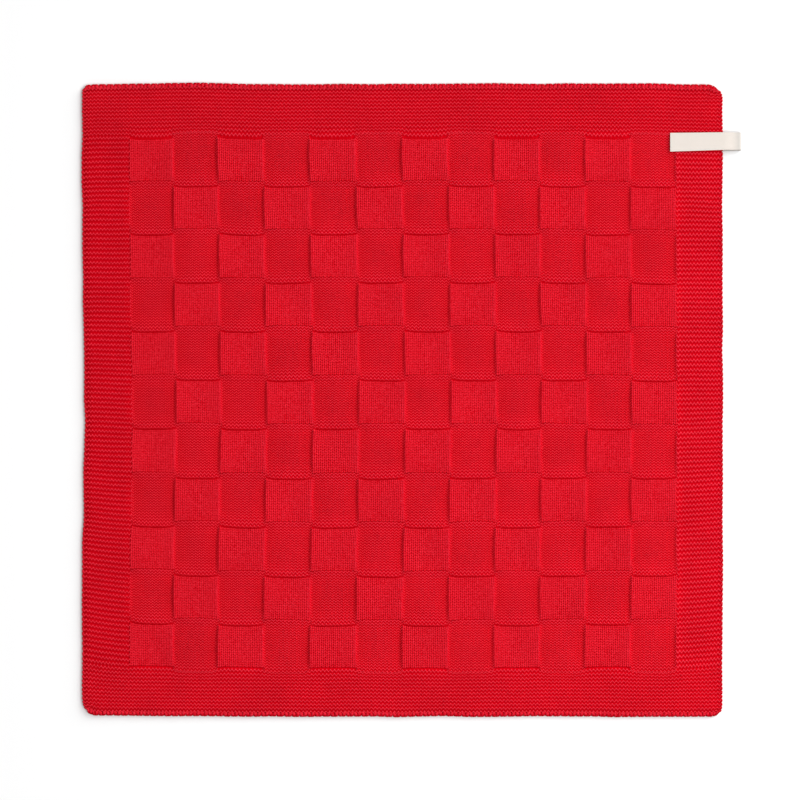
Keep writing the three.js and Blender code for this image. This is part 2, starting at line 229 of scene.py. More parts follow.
def pull_blocks(x, y):
    """A knit block's sides bow to the left, and purl blocks lap over it at its ends."""
    knit, across, up = block_places(x, y)
    bulge = np.where(knit * across < 0, LEFT_BULGE, RIGHT_BULGE)
    bulge *= np.sign(across) * np.abs(across) ** BULGE_POWER * (1 - up**2)
    overlap = np.where(knit * up > 0, TOP_OVERLAP, BOTTOM_OVERLAP)
    overlap *= np.sign(up) * np.abs(up) ** OVERLAP_POWER * (1 - across**SQUARE_POWER)
    fade = np.clip(1 - out_of_field(x, y) / BORDER_FADE, 0, 1) ** 2
    shift_x = knit * bulge * BLOCK_WIDTH / 2 * fade
    shift_y = -knit * overlap * BLOCK_LENGTH / 2 * fade
    return x + shift_x, y + shift_y


# %% How the blocks rise
BLOCK_RELIEF = 0.00081
SIDE_POWER = 2
END_POWER = 9
CORNER_POWER = 4
SIDE_WALL = 0.04
END_WALL = 0.09
RIM_SHARE = 0.6
RELIEF_FADE = 0.0035


def block_relief(x, y):
    """How far the cloth rises. A block is a saddle: a knit one stands up along its sides, and a
    purl one along its ends. Along the other edges it lies low, up to a steep wall where its
    neighbour stands up."""
    knit, across, up = block_places(x, y)
    side, end = np.abs(across), np.abs(up)
    side_curve, end_curve = side**SIDE_POWER, end**END_POWER
    side_wall = smooth_step((side - 1 + SIDE_WALL) / SIDE_WALL)
    end_wall = smooth_step((end - 1 + END_WALL) / END_WALL)
    along_sides = np.where(knit > 0, side_curve, (1 + side_curve) * side_wall - side_curve)
    along_ends = np.where(knit > 0, (1 + end_curve) * end_wall - end_curve, end_curve)
    from_side = np.minimum(FIELD_RIGHT - x, x - FIELD_LEFT) / (BLOCK_WIDTH / 2)
    from_end = np.minimum(FIELD_TOP - y, y - FIELD_BOTTOM) / (BLOCK_LENGTH / 2)
    along_sides *= RIM_SHARE + (1 - RIM_SHARE) * smooth_step(from_side)
    end_share = np.where(knit > 0, RIM_SHARE, 0.0)
    along_ends *= end_share + (1 - end_share) * smooth_step(from_end)
    rise = along_sides * (1 - end**CORNER_POWER) + along_ends * (1 - side**CORNER_POWER)
    return BLOCK_RELIEF * rise * (1 - smooth_step(out_of_field(x, y) / RELIEF_FADE))


# %% [markdown]
# The dye is even. Light and shade that the relief alone doesn't give are painted into the yarn's
# colour. Where a block stands up towards the light it is painted paler and pinker, a painted
# highlight. Beside a wall, and at the rim where the yarn turns under, it is painted deeper, as the
# shade where light bounces from red to red. Each edge of a block gets a number for this painted
# light or shade, above 0 for paler and below 0 for deeper, that fades towards the block's middle
# with a power.

# %% Where light and shade are painted on the yarn
# Painted light and shade along each edge of knit and purl blocks, and how fast it fades inwards
KNIT_LEFT_SHADE = 0.2
KNIT_LEFT_POWER = 4
KNIT_RIGHT_SHADE = 2.3
KNIT_RIGHT_POWER = 8
KNIT_TOP_SHADE = -1.2
KNIT_BOTTOM_SHADE = -1.4
KNIT_END_POWER = 5
PURL_SIDE_SHADE = -2.5
PURL_SIDE_POWER = 2
RIGHT_WALL_SHADE = 5.0
WALL_SHADE_POWER = 16
PURL_END_SHADE = 1.8
PURL_END_POWER = 8
# Painted shade of the border, and painted light and shade along the cloth's rims
BORDER_SHADE = -0.65
SHADE_FADE = 0.0045
END_RIM = 0.0044
END_RIM_SHADE = -2.6
RIGHT_RIM = 0.0028
RIGHT_RIM_SHADE = -2.1
LEFT_RIM = 0.0100
LEFT_RIM_SHADE = 0.8
# How much of a block's painted light pales the colour, and how much of its painted light and shade
# makes it pinker or purer red
PAINTED_LIGHT_SHARE = 0.2
PAINTED_TINT_SHARE = 0.10


def painted_block_shade(x, y):
    """How pale or deep the yarn is painted, as light and shade, for where it lies in its block."""
    knit, across, up = block_places(x, y)
    side, end = np.abs(across), np.abs(up)
    from_end = np.minimum(FIELD_TOP - y, y - FIELD_BOTTOM) / (BLOCK_LENGTH / 2)
    at_left = KNIT_LEFT_SHADE * side**KNIT_LEFT_POWER
    at_right = KNIT_RIGHT_SHADE * side**KNIT_RIGHT_POWER
    knit_side = np.where(across < 0, at_left, at_right)
    knit_end = np.where(up > 0, KNIT_TOP_SHADE, KNIT_BOTTOM_SHADE) * end**KNIT_END_POWER
    # Painted light: a knit block's right-hand wall faces the light, so it is painted pale
    # down into the purl block
    on_wall = np.where(across < 0, RIGHT_WALL_SHADE, 0.0) * side**WALL_SHADE_POWER
    purl_side = PURL_SIDE_SHADE * side**PURL_SIDE_POWER + on_wall
    purl_end = PURL_END_SHADE * end**PURL_END_POWER * smooth_step(from_end)
    at_side = np.where(knit > 0, knit_side, purl_side) * (1 - end**CORNER_POWER)
    at_end = np.where(knit > 0, knit_end, purl_end) * (1 - side**CORNER_POWER)
    shade = at_side + at_end
    outside = out_of_field(x, y)
    near = 1 - smooth_step(outside / SHADE_FADE)
    return np.where(outside > 0, -shade / 2 * near, shade)


def painted_rim_shade(x, y):
    """Painted shade for the border, which is painted a little deeper, and painted light and shade
    along the rim of the cloth: deeper at the top, bottom and right-hand rims, where the yarn turns
    under, and paler along the left-hand rim.
    """
    border = BORDER_SHADE * smooth_step(out_of_field(x, y) / SHADE_FADE)
    at_end = 1 - smooth_step((LENGTH / 2 - np.abs(y)) / END_RIM)
    at_right = 1 - smooth_step((WIDTH / 2 - x) / RIGHT_RIM)
    at_left = 1 - smooth_step((WIDTH / 2 + x) / LEFT_RIM)
    rim = END_RIM_SHADE * at_end + RIGHT_RIM_SHADE * at_right + LEFT_RIM_SHADE * at_left
    return border + rim


# %% Reading and moving vertices
def read_all(things, field, kind=float, width=1):
    """One field of all of a mesh's vertices, corners or faces, as an array of so many columns."""
    numbers = np.empty(len(things) * width, dtype=kind)
    things.foreach_get(field, numbers)
    return numbers if width == 1 else numbers.reshape(-1, width)


def read_points(piece):
    """A piece's vertices as an array with a row for each."""
    return read_all(piece.data.vertices, "co", width=3)


def move_points(piece, points):
    piece.data.vertices.foreach_set("co", points.astype(np.float32).ravel())
    piece.data.update()


def note_at_points(piece, name, values):
    """Keeps a number for each vertex, that a material can read by this name."""
    noted = piece.data.attributes.new(name, "FLOAT", "POINT")
    noted.data.foreach_set("value", values.astype(np.float32))


# %% [markdown]
# Hand and machine both leave small differences from stitch to stitch, and slower ones over a few
# centimetres. Seeded tables of random numbers give them, and between its numbers a table is read
# on a straight line, so that neighbours stay joined and the result is the same each time.

# %% Small differences from stitch to stitch
TABLE_MARGIN = 3


def uneven(x, y, step, seed):
    """Random numbers from -1 to 1, one for each step of the chart, joined by straight lines."""
    count = int(WIDTH / step) + 2 * TABLE_MARGIN + 2
    table = np.random.default_rng(seed).uniform(-1, 1, (count, count))
    column = (x + WIDTH / 2) / step + TABLE_MARGIN
    row = (y + LENGTH / 2) / step + TABLE_MARGIN
    left = np.clip(np.floor(column).astype(int), 0, count - 2)
    low = np.clip(np.floor(row).astype(int), 0, count - 2)
    right_share = column - left
    high_share = row - low
    bottom = table[left, low] * (1 - right_share) + table[left + 1, low] * right_share
    top = table[left, low + 1] * (1 - right_share) + table[left + 1, low + 1] * right_share
    return bottom * (1 - high_share) + top * high_share


# %% [markdown]
# Now any piece can be laid down: shifted with its stitches, its block and the whole cloth, lifted
# with its block, and rolled down a little along the edges of the cloth, most at the left.

# %% Laying a piece down
UNEVEN_STEP = 0.0024
UNEVEN_SHIFT = 0.00011
UNEVEN_RISE = 0.00006
SLOW_STEP = 0.019
SLOW_SHIFT = 0.00045
SEEDS = {"across": 11, "along": 12, "rise": 13, "slow_across": 14, "slow_along": 15}
LEFT_ROLL = 0.0003
EDGE_ROLL = 0.0002
ROLL_REACH = 0.0090
ROLL_POWER = 2.0


def settle(piece, jitter=1.0):
    """Lays a piece that was modelled flat on the chart down with the cloth. Its height is
    measured from the middle of the cloth's upper yarn."""
    x, y, rise = read_points(piece).T
    shift_x = jitter * UNEVEN_SHIFT * uneven(x, y, UNEVEN_STEP, SEEDS["across"])
    shift_y = jitter * UNEVEN_SHIFT * uneven(x, y, UNEVEN_STEP, SEEDS["along"])
    shift_x += SLOW_SHIFT * uneven(x, y, SLOW_STEP, SEEDS["slow_across"])
    shift_y += SLOW_SHIFT * uneven(x, y, SLOW_STEP, SEEDS["slow_along"])
    lift = jitter * UNEVEN_RISE * uneven(x, y, UNEVEN_STEP, SEEDS["rise"])
    pulled_x, pulled_y = pull_blocks(x, y)
    laid_x, laid_y = lay_by_hand(pulled_x + shift_x, pulled_y + shift_y)
    from_left = np.clip((x + WIDTH / 2) / ROLL_REACH, 0, 1)
    from_edge = np.clip(np.minimum(WIDTH / 2 - x, LENGTH / 2 - np.abs(y)) / ROLL_REACH, 0, 1)
    left_roll = LEFT_ROLL * (1 - from_left) ** ROLL_POWER
    edge_roll = EDGE_ROLL * (1 - from_edge) ** ROLL_POWER
    height = THICKNESS + block_relief(x, y) + rise + lift - np.maximum(left_roll, edge_roll)
    move_points(piece, np.column_stack((laid_x, laid_y, np.maximum(height, 0))))
    # Painted light and shade: each vertex notes how much paler or deeper its colour is painted
    # (shade), and how much pinker or purer red it is painted with it (tint)
    on_block = painted_block_shade(x, y)
    note_at_points(piece, "shade", PAINTED_LIGHT_SHARE * np.maximum(on_block, 0) + painted_rim_shade(x, y))
    note_at_points(piece, "tint", PAINTED_TINT_SHARE * on_block)


# %% [markdown]
# ## Camera, floor and light
#
# The photograph looks straight down on the cloth from far away, so a long lens high above the
# middle gives the same view. A large, low soft box at the upper right draws the relief and leaves
# a narrow soft shadow along the left-hand edge. A weak one higher up and a white sky fill in. The
# floor is matt and just short of white.

# %% Camera
VIEW_WIDTH = 0.625
VIEW_MIDDLE_X = -0.00156
CAMERA_HEIGHT = 3.0
SENSOR = 36.0

scene = bpy.context.scene
camera_data = bpy.data.cameras.new("camera")
camera_data.sensor_width = SENSOR
camera_data.lens = SENSOR * (CAMERA_HEIGHT - THICKNESS) / VIEW_WIDTH
camera = bpy.data.objects.new("camera", camera_data)
camera.location = (VIEW_MIDDLE_X, 0, CAMERA_HEIGHT)
scene.collection.objects.link(camera)
scene.camera = camera


# %% Modes and selecting
def set_mode(mode):
    bpy.ops.object.mode_set(mode=mode)


def deselect():
    bpy.ops.object.select_all(action="DESELECT")


def select_only(*pieces):
    """Selects these objects and makes the first the active one."""
    deselect()
    for piece in pieces:
        piece.select_set(True)
    bpy.context.view_layer.objects.active = pieces[0]


# %% Light
SIDE_LIGHT = {"place": (3.93, 3.07, 1.95), "size": 4.1, "power": 308}
TOP_LIGHT = {"place": (1.1, -0.5, 1.8), "size": 1.2, "power": 24}
SKY_STRENGTH = 0.53


def add_light(name, place, size, power):
    """A round soft box that faces the middle of the cloth."""
    deselect()
    bpy.ops.object.light_add(type="AREA", location=place)
    light = bpy.context.object
    light.name = name
    light.data.shape = "DISK"
    light.data.size = size
    light.data.energy = power
    light.rotation_euler = light.location.to_track_quat("Z", "Y").to_euler()


add_light("side_light", **SIDE_LIGHT)
add_light("top_light", **TOP_LIGHT)

sky = bpy.data.worlds.new("sky")
sky.use_nodes = True
background = sky.node_tree.nodes["Background"]
background.inputs["Color"].default_value = (1, 1, 1, 1)
background.inputs["Strength"].default_value = SKY_STRENGTH
scene.world = sky
scene.view_settings.view_transform = "Standard"

# %% Floor
FLOOR_SIZE = 12.0
FLOOR_DROP = 0.0001

deselect()
bpy.ops.mesh.primitive_plane_add(size=FLOOR_SIZE, location=(0, 0, -FLOOR_DROP))
floor = bpy.context.object
floor.name = "floor"

# %% [markdown]
# ## The finish of the yarn
#
# Cotton yarn is several plies twisted together, soft and dull, with a little fuzz that catches
# the light. Its dye is one red, but it is painted deeper where it dips into the cloth, as shade,
# and lighter and pinker on its crests, as a painted highlight. One node group makes this for every
# piece. It reads each piece's own map, which runs along the strand and round it, so that the twist
# follows the yarn. Attributes of the piece say how pale the yarn is painted for how high it stands
# in its stitch (rise), how much painted light or shade the place gets (shade) and how much pinker
# or purer red it is painted with it (tint).


# %% Helpers for nodes
def new_group(name, inputs, outputs):
    """An empty node group with named sockets, each given as name: (kind, value)."""
    group = bpy.data.node_groups.new(name, "ShaderNodeTree")
    for socket, (kind, value) in inputs.items():
        made = group.interface.new_socket(socket, in_out="INPUT", socket_type=f"NodeSocket{kind}")
        if value is not None:
            made.default_value = value
    for socket, kind in outputs.items():
        group.interface.new_socket(socket, in_out="OUTPUT", socket_type=f"NodeSocket{kind}")
    return group


def add_node(tree, kind, inputs=(), **settings):
    """A node with its settings, and its inputs given by name or number: a value, or the socket
    of another node to link from."""
    node = tree.nodes.new("ShaderNode" + kind)
    for setting, value in settings.items():
        setattr(node, setting, value)
    for socket, value in dict(inputs).items():
        if isinstance(value, bpy.types.NodeSocket):
            tree.links.new(value, node.inputs[socket])
        else:
            node.inputs[socket].default_value = value
    return node


def calculate(tree, operation, *values):
    """The result of a Math node."""
    return add_node(tree, "Math", enumerate(values), operation=operation).outputs[0]


def blend_colours(tree, share, first, second, blend_type="MIX"):
    node = add_node(
        tree, "Mix", {0: share, 6: first, 7: second}, data_type="RGBA", blend_type=blend_type
    )
    return node.outputs[2]


def add_noise(tree, place, scale, detail, roughness=0.5):
    """Cloudy spots from 0 to 1, about as many in a metre as the scale says."""
    inputs = {"Vector": place, "Scale": scale, "Detail": detail, "Roughness": roughness}
    return add_node(tree, "TexNoise", inputs).outputs[0]


def soft_range(tree, value, start, end):
    """0 before the start, 1 past the end, and a soft curve between."""
    inputs = {0: value, 1: start, 2: end, 3: 0.0, 4: 1.0}
    return add_node(tree, "MapRange", inputs, interpolation_type="SMOOTHSTEP").outputs[0]


def dress(tree, shader, colour, height, depth):
    """Gives a shader its colour, and fine relief as a bump of this depth in metres."""
    bump = add_node(tree, "Bump", {"Height": height, "Distance": depth})
    tree.links.new(colour, shader.inputs["Base Color"])
    tree.links.new(bump.outputs["Normal"], shader.inputs["Normal"])


def new_material(name, roughness):
    """A new material with its tree and its shader."""
    material = bpy.data.materials.new(name)
    material.use_nodes = True
    shader = material.node_tree.nodes["Principled BSDF"]
    shader.inputs["Roughness"].default_value = roughness
    return material, material.node_tree, shader


# %% The group for cotton yarn
FIBRE_SCALE = 3200
PATCH_SCALE = 950
BROAD_SCALE = 28
# Between these rises the colour goes from the furrow's painted shade to the crest's painted
# highlight
FURROW_RISE = 0.18
CREST_RISE = 0.60
# How much the twist of the plies is painted lighter and deeper, as painted highlight and shade
PLY_LIGHTNESS = 0.10
CONTRAST = 1.5
DEEPER = -0.34
BROAD_LOW = 0.92
BROAD_RANGE = 0.16
# How much the painted light and shade of the shade attribute pales or deepens the colour
PAINTED_SHADE_DEPTH = 0.09


def make_cotton_group():
    group = new_group(
        "cotton_yarn",
        {
            "Strand": ("Vector", None),
            "Place": ("Vector", None),
            "Rise": ("Float", 1.0),
            "Shade": ("Float", 0.0),
            "Tint": ("Float", 0.0),
            "Crest Highlight Colour": ("Color", (0.8, 0.8, 0.8, 1)),
            "Furrow Shade Colour": ("Color", (0.4, 0.4, 0.4, 1)),
            "Flecks": ("Float", 1.6),
            "Twists": ("Float", 2.0),
            "Fuzz": ("Float", 0.3),
        },
        {"Colour": "Color", "Height": "Float"},
    )
    read = group.nodes.new("NodeGroupInput").outputs
    along, around = add_node(group, "SeparateXYZ", {0: read["Strand"]}).outputs[:2]
    twisted = calculate(group, "MULTIPLY_ADD", along, read["Twists"], around)
    turn = calculate(group, "MULTIPLY", twisted, math.tau)
    ply = calculate(group, "MULTIPLY_ADD", calculate(group, "SINE", turn), 0.5, 0.5)

    fibres = add_noise(group, read["Place"], FIBRE_SCALE, 2, 0.6)
    patches = calculate(group, "SUBTRACT", add_noise(group, read["Place"], PATCH_SCALE, 2), 0.5)
    broad = add_noise(group, read["Place"], BROAD_SCALE, 1)

    # Painted shade low on the yarn, and a painted highlight high on it
    rise = soft_range(group, read["Rise"], FURROW_RISE, CREST_RISE)
    lightness = calculate(group, "MULTIPLY_ADD", patches, read["Flecks"], rise)
    # Painted highlight and shade along the twist of the plies
    lightness = calculate(group, "MULTIPLY_ADD", ply, PLY_LIGHTNESS, lightness)
    share = calculate(group, "MULTIPLY_ADD", lightness, CONTRAST, DEEPER)
    share = add_node(group, "Clamp", {0: share}).outputs[0]
    colour = blend_colours(group, share, read["Furrow Shade Colour"], read["Crest Highlight Colour"])
    # Random broad tone, times the painted light and shade of the shade attribute; tint moves only
    # green and blue, for pinker or purer red
    shade = calculate(group, "MULTIPLY_ADD", broad, BROAD_RANGE, BROAD_LOW)
    shade = calculate(group, "MULTIPLY_ADD", read["Shade"], PAINTED_SHADE_DEPTH, shade)
    pale = calculate(group, "MULTIPLY_ADD", shade, read["Tint"], shade)
    tone_and_painted_shade = add_node(group, "CombineColor", {0: shade, 1: pale, 2: pale}).outputs[0]
    colour = blend_colours(group, 1.0, colour, tone_and_painted_shade, "MULTIPLY")

    height = calculate(group, "MULTIPLY_ADD", fibres, read["Fuzz"], ply)
    write = group.nodes.new("NodeGroupOutput")
    group.links.new(colour, write.inputs["Colour"])
    group.links.new(height, write.inputs["Height"])
    return group


cotton_group = make_cotton_group()

# %% The yarn's material
# One dye: the crest's paler, pinker red is a painted highlight, the furrow's deeper red painted
# shade
CREST_HIGHLIGHT_RED = (0.84, 0.0305, 0.0570, 1)
FURROW_SHADE_RED = (0.56, 0.0003, 0.0060, 1)
PLY_DEPTH = 0.00009


def make_yarn(name, twists, flecks=1.6, knitted=False):
    """Red cotton: a dull surface, with the yarn's twist as fine relief. A knitted one is seen as
    a cloth of small V-shaped stitches instead of a single strand."""
    material, tree, shader = new_material(name, roughness=0.9)
    shader.inputs["Specular IOR Level"].default_value = 0.0
    strand = add_node(tree, "UVMap", uv_map="Strand").outputs["UV"]
    if knitted:
        along, around = add_node(tree, "SeparateXYZ", {0: strand}).outputs[:2]
        half = calculate(tree, "PINGPONG", along, 0.5)
        strand = add_node(tree, "CombineXYZ", {0: half, 1: around}).outputs[0]
    inputs = {
        "Strand": strand,
        "Place": add_node(tree, "TexCoord").outputs["Object"],
        "Crest Highlight Colour": CREST_HIGHLIGHT_RED,
        "Furrow Shade Colour": FURROW_SHADE_RED,
        "Flecks": flecks,
        "Twists": twists,
    }
    for socket in ("Rise", "Shade", "Tint"):
        inputs[socket] = add_node(tree, "Attribute", attribute_name=socket.lower()).outputs["Fac"]
    colour, height = add_node(tree, "Group", inputs, node_tree=cotton_group).outputs[:2]
    dress(tree, shader, colour, height, PLY_DEPTH)
    return material


red_yarn = make_yarn("red_yarn", twists=2.0)
red_smooth_yarn = make_yarn("red_smooth_yarn", twists=2.0, flecks=1.1)
red_knitting = make_yarn("red_knitting", twists=1.6, knitted=True)

# %% [markdown]
# ## Helpers for modelling
#
# A stitch is drawn out of a three-cornered profile, extruded ring by ring. Three corners are few,
# but a stitch is only three millimetres wide, there are tens of thousands of them, and smooth
# shading rounds them off.


# %% Profiles and extrusion
def add_profile(name, corners, along, width, height):
    """A ring of edges with one corner up, in the middle of the world, that faces along X or Y."""
    deselect()
    turn = (math.pi / 2, 0, math.pi / 2 if along == "X" else 0)
    bpy.ops.mesh.primitive_circle_add(
        vertices=corners, radius=0.5, fill_type="NOTHING", rotation=turn
    )
    piece = bpy.context.object
    piece.name = name
    bpy.ops.object.transform_apply(location=True, rotation=True, scale=True)
    points = read_points(piece)
    sizes = np.ptp(points, axis=0)
    side = 1 if along == "X" else 0
    points[:, 2] = (points[:, 2] - points[:, 2].min()) / sizes[2] * height
    points[:, side] *= width / sizes[side]
    move_points(piece, points)
    return piece


def extrude_by(step):
    """Extrudes what is selected, and moves the new ring by a step."""
    bpy.ops.mesh.extrude_region_move(TRANSFORM_OT_translate={"value": step})


def select_where(piece, test=lambda place: True):
    """In edit mode, selects the vertices whose place passes a test, or all of them."""
    set_mode("EDIT")
    bpy.ops.mesh.select_mode(type="VERT")
    bpy.ops.mesh.select_all(action="DESELECT")
    set_mode("OBJECT")
    for vertex in piece.data.vertices:
        vertex.select = bool(test(vertex.co))
    set_mode("EDIT")


# %% Repeating, moving and joining
def apply_modifier(piece, kind, **settings):
    """Gives a piece a modifier with these settings, and applies it."""
    select_only(piece)
    modifier = piece.modifiers.new(kind.lower(), kind)
    for setting, value in settings.items():
        setattr(modifier, setting, value)
    bpy.ops.object.modifier_apply(modifier=modifier.name)


def repeat(piece, count, offset, merge=False):
    """Copies a piece along a line."""
    apply_modifier(
        piece,
        "ARRAY",
        count=count,
        use_relative_offset=False,
        use_constant_offset=True,
        constant_offset_displace=offset,
        use_merge_vertices=merge,
        merge_threshold=HAIR * 10,
    )
    return piece


def shift(piece, offset):
    """Moves a piece's mesh, and leaves its object at the origin."""
    move_points(piece, read_points(piece) + offset)


def copy_of(piece):
    """A second object with its own mesh."""
    select_only(piece)
    bpy.ops.object.duplicate()
    return bpy.context.object


def join(name, *pieces):
    """Makes one object of several."""
    select_only(*pieces)
    bpy.ops.object.join()
    joined = bpy.context.object
    joined.name = name
    joined.data.name = name
    return joined


def face_outwards(piece):
    select_only(piece)
    set_mode("EDIT")
    bpy.ops.mesh.select_all(action="SELECT")
    bpy.ops.mesh.normals_make_consistent(inside=False)
    set_mode("OBJECT")


# %% Maps
def write_map(mesh, name, places):
    """Writes a map with a place for each corner of each face."""
    layer = mesh.uv_layers.get(name) or mesh.uv_layers.new(name=name)
    layer.uv.foreach_set("vector", places.astype(np.float32).ravel())


def map_strand(piece, along, around, rise=None):
    """Gives a piece the map that its twist or weave follows, and notes how pale each vertex of a
    yarn is painted, from 0 to 1, from the furrow's painted shade to the crest's painted highlight,
    mostly after how high it stands. along, around and rise hold a number for each vertex."""
    corner_vertex = read_all(piece.data.loops, "vertex_index", np.int32)
    write_map(piece.data, "Strand", np.column_stack((along, around))[corner_vertex])
    if rise is not None:
        note_at_points(piece, "rise", rise)


BAKE_LEAN = 0.25
UNDERSIDE_BAND = 0.08
BAND_FILL = 0.9


def map_for_bake(piece):
    """A plain map of the piece for baking its finish. It is seen from above and a little aslant,
    so that upright faces have some width too, and faces that look down lie in a band of their
    own along one side of the map."""
    mesh = piece.data
    corner_vertex = read_all(mesh.loops, "vertex_index", np.int32)
    face_corners = read_all(mesh.polygons, "loop_total", np.int32)
    facing = read_all(mesh.polygons, "normal", width=3)
    looks_down = np.repeat(facing @ (-BAKE_LEAN, -BAKE_LEAN, 1) < 0, face_corners)
    points = read_points(piece)
    places = points[:, :2] + BAKE_LEAN * points[:, 2:]
    low = places.min(axis=0)
    shares = ((places - low) / (places.max(axis=0) - low))[corner_vertex]
    upper = UNDERSIDE_BAND + (1 - UNDERSIDE_BAND) * shares[:, 1]
    lower = BAND_FILL * UNDERSIDE_BAND * shares[:, 1]
    shares[:, 1] = np.where(looks_down, lower, upper)
    write_map(mesh, "OFBake", shares)


# %% The last steps
def finish_yarn(piece, jitter=1.0, material=red_yarn):
    """The last steps for every piece of yarn: laid down, shaded smooth, mapped and dyed."""
    settle(piece, jitter)
    select_only(piece)
    bpy.ops.object.shade_smooth()
    map_for_bake(piece)
    piece.data.materials.clear()
    piece.data.materials.append(material)
    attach(piece, "root")
    piece.data.calc_loop_triangles()
    print(f"{piece.name}: {len(piece.data.loop_triangles)} triangles")
    return piece


# %% [markdown]
# ## Knit stitches
#
# Seen from its right side a knit stitch is a V: two legs of yarn that come up out of the stitch
# below, lean apart and dive behind the next one. Only the legs show, so one leg is drawn like a
# grain of rice, pointed at both ends, and mirrored. The V is then repeated along a course and
# the course down the block. A block's first and last courses lie hidden under the purl blocks
# that lap over them, so they are left out.

# %% One knit stitch
LEG_LENGTH = 0.0036
LEG_BELLY = 0.0014
LEG_WIDTH = 0.0021
LEG_HEIGHT = 0.00076
LEG_SINK = 0.00034
LEG_LEAN = math.radians(20)
LEG_FROM_MIDDLE = 0.245
TIP_DROP = 0.00028
LEG_RISE = 0.32
LEG_RISE_RANGE = 0.065
TIP_FADE = 0.045
FIRST_COURSE = 1.82
SHOWN_COURSES = 17
KNIT_JITTER = 1.2


def make_leg():
    """One leg, upright and in the middle: a belly with a point at each end."""
    leg = add_profile("knit_stitch", 3, "Y", LEG_WIDTH, LEG_HEIGHT)
    shift(leg, (0, -LEG_BELLY / 2, 0))
    select_where(leg)
    extrude_by((0, LEG_BELLY, 0))
    tip_reach = (LEG_LENGTH - LEG_BELLY) / 2
    for side in (1, -1):
        select_where(leg, lambda place: side * place.y > LEG_BELLY / 4)
        extrude_by((0, side * tip_reach, -TIP_DROP))
        bpy.ops.mesh.merge(type="CENTER")
    set_mode("OBJECT")
    face_outwards(leg)
    points = read_points(leg)
    crest = (points[:, 2] - points[:, 2].min()) / np.ptp(points[:, 2])
    to_tip = (np.abs(points[:, 1]) - LEG_BELLY / 2) / tip_reach
    # Painted highlight along the leg's crest, and painted shade towards its tips, where it dives
    # behind the next stitch
    rise = LEG_RISE + LEG_RISE_RANGE * crest * (1 - to_tip) - TIP_FADE * to_tip
    map_strand(leg, points[:, 1] / LEG_LENGTH, 0.5 + points[:, 0] / LEG_WIDTH, rise)
    return leg


def make_knit_stitch():
    leg = make_leg()
    select_where(leg)
    bpy.ops.transform.rotate(value=LEG_LEAN, orient_axis="Z", center_override=(0, 0, 0))
    bpy.ops.transform.translate(value=(LEG_FROM_MIDDLE * STITCH, 0, -LEG_SINK))
    set_mode("OBJECT")
    apply_modifier(leg, "MIRROR", use_mirror_merge=False)
    return leg


knit_block = make_knit_stitch()
shift(knit_block, (STITCH / 2, -FIRST_COURSE * COURSE, 0))
repeat(knit_block, BLOCK_STITCHES, (STITCH, 0, 0))
repeat(knit_block, SHOWN_COURSES, (0, -COURSE, 0))
print("a knit block has", len(knit_block.data.vertices), "vertices")

# %% [markdown]
# Blocks of one kind stand like the black squares of a draughtboard. So a block is repeated two
# by two, once from the first row and once from the second, and the two sets are joined. The left
# and the right half of the field are a piece each, to keep the pieces small.


# %% A half of the field from one block
def fill_half(name, block, first_column, starts_in_first):
    """Copies a block over its places in six columns of the field."""
    parts = []
    for row in (0, 1):
        column = first_column + (row if starts_in_first else 1 - row)
        part = copy_of(block)
        shift(part, (FIELD_LEFT + column * BLOCK_WIDTH, FIELD_TOP - row * BLOCK_LENGTH, 0))
        repeat(part, BLOCK_COLUMNS // 4, (2 * BLOCK_WIDTH, 0, 0))
        repeat(part, (BLOCK_ROWS + 1 - row) // 2, (0, -2 * BLOCK_LENGTH, 0))
        parts.append(part)
    return join(name, *parts)


# The first column of each half
HALVES = {"left": 0, "right": BLOCK_COLUMNS // 2}

for half, first_column in HALVES.items():
    knit = fill_half("knit_" + half, knit_block, first_column, True)
    finish_yarn(knit, jitter=KNIT_JITTER, material=red_smooth_yarn)
bpy.data.objects.remove(knit_block)

# %% [markdown]
# ## Purl rows
#
# A purl stitch is a knit stitch seen from behind: the legs are hidden, and the heads of one
# course and the feet of the next hook into each other. Together they look like one wavy rope for
# each course, highest at the top and at the bottom of each wave. So a rope is drawn instead of
# single stitches: four steps of extrusion make one wave, and the wave is repeated with its ends
# merged.


# %% One wavy rope
ROPE_FURROW = 0.17


def make_rope(name, stitches, stitch, swing, width, height, sink, dip, top_rise):
    """A rope of purl bumps along X from the origin. It swings up and down by swing, and dips
    between the bumps."""
    rope = add_profile(name, 3, "X", width, height)
    shift(rope, (0, swing, -sink))
    select_where(rope)
    for rise, drop in ((-swing, -dip), (-swing, dip), (swing, -dip), (swing, dip)):
        extrude_by((stitch / 4, rise, drop))
    set_mode("OBJECT")
    repeat(rope, stitches, (stitch, 0, 0), merge=True)
    set_mode("EDIT")
    bpy.ops.mesh.select_all(action="SELECT")
    bpy.ops.mesh.fill_holes(sides=3)
    set_mode("OBJECT")
    face_outwards(rope)
    points = read_points(rope)
    waves = points[:, 0] / stitch
    middle = swing * (1 - 4 * np.abs((waves + 0.5) % 1 - 0.5))
    share = (points[:, 2] - points[:, 2].min()) / np.ptp(points[:, 2])
    # Painted shade and highlight: the higher a vertex stands on the rope, the paler it is painted,
    # up to top_rise
    rise = top_rise * (share - ROPE_FURROW) / (1 - ROPE_FURROW)
    map_strand(rope, waves, 0.5 + (points[:, 1] - middle) / width, rise)
    return rope


# %% The purl blocks
PURL_ROPE = {
    "swing": 0.00069,
    "width": 0.00132,
    "height": 0.00130,
    "sink": 0.00072,
    "dip": 0.00038,
    "top_rise": 0.95,
}

purl_block = make_rope("purl_block", BLOCK_STITCHES, STITCH, **PURL_ROPE)
repeat(purl_block, BLOCK_COURSES, (0, -COURSE, 0))
for half, first_column in HALVES.items():
    finish_yarn(fill_half("purl_" + half, purl_block, first_column, False))
bpy.data.objects.remove(purl_block)

